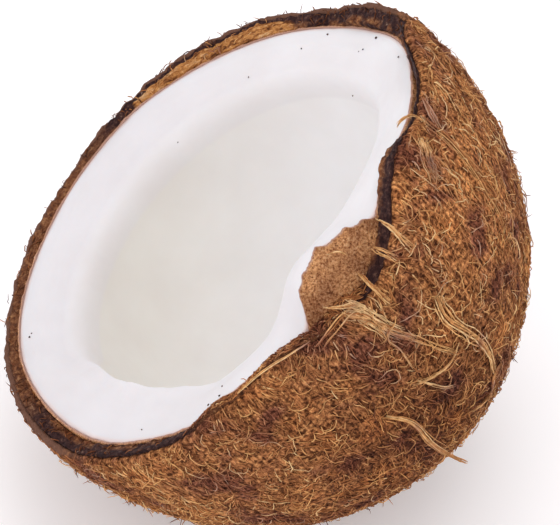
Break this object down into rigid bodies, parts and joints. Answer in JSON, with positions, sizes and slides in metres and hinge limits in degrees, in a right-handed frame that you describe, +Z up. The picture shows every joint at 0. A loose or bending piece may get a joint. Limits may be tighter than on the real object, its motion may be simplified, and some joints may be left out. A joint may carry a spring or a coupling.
{
  "type": "half coconut",
  "caption": "Half of a brown coconut, cracked crosswise: a thick white flesh cup with its brown skin, in a hard shell matted with husk fibre, lying on its round side.",
  "frame": {"origin": "middle of the small flat spot under the nut that it rests on", "axes": "+Z up. The nut's axis leans 36 degrees from the vertical toward -X, so the opening looks up and toward -X; -Y is the side that faces the picture's camera"},
  "size_m": [0.1095, 0.1156, 0.1065],
  "materials": {
    "flesh": "satin",
    "testa": "matte",
    "shell": "matte",
    "coir": "matte"
  },
  "bodies": {
    "root": {"flesh": "flesh", "testa": "testa", "shell": "shell", "coir": "coir"}
  },
  "joints": []
}
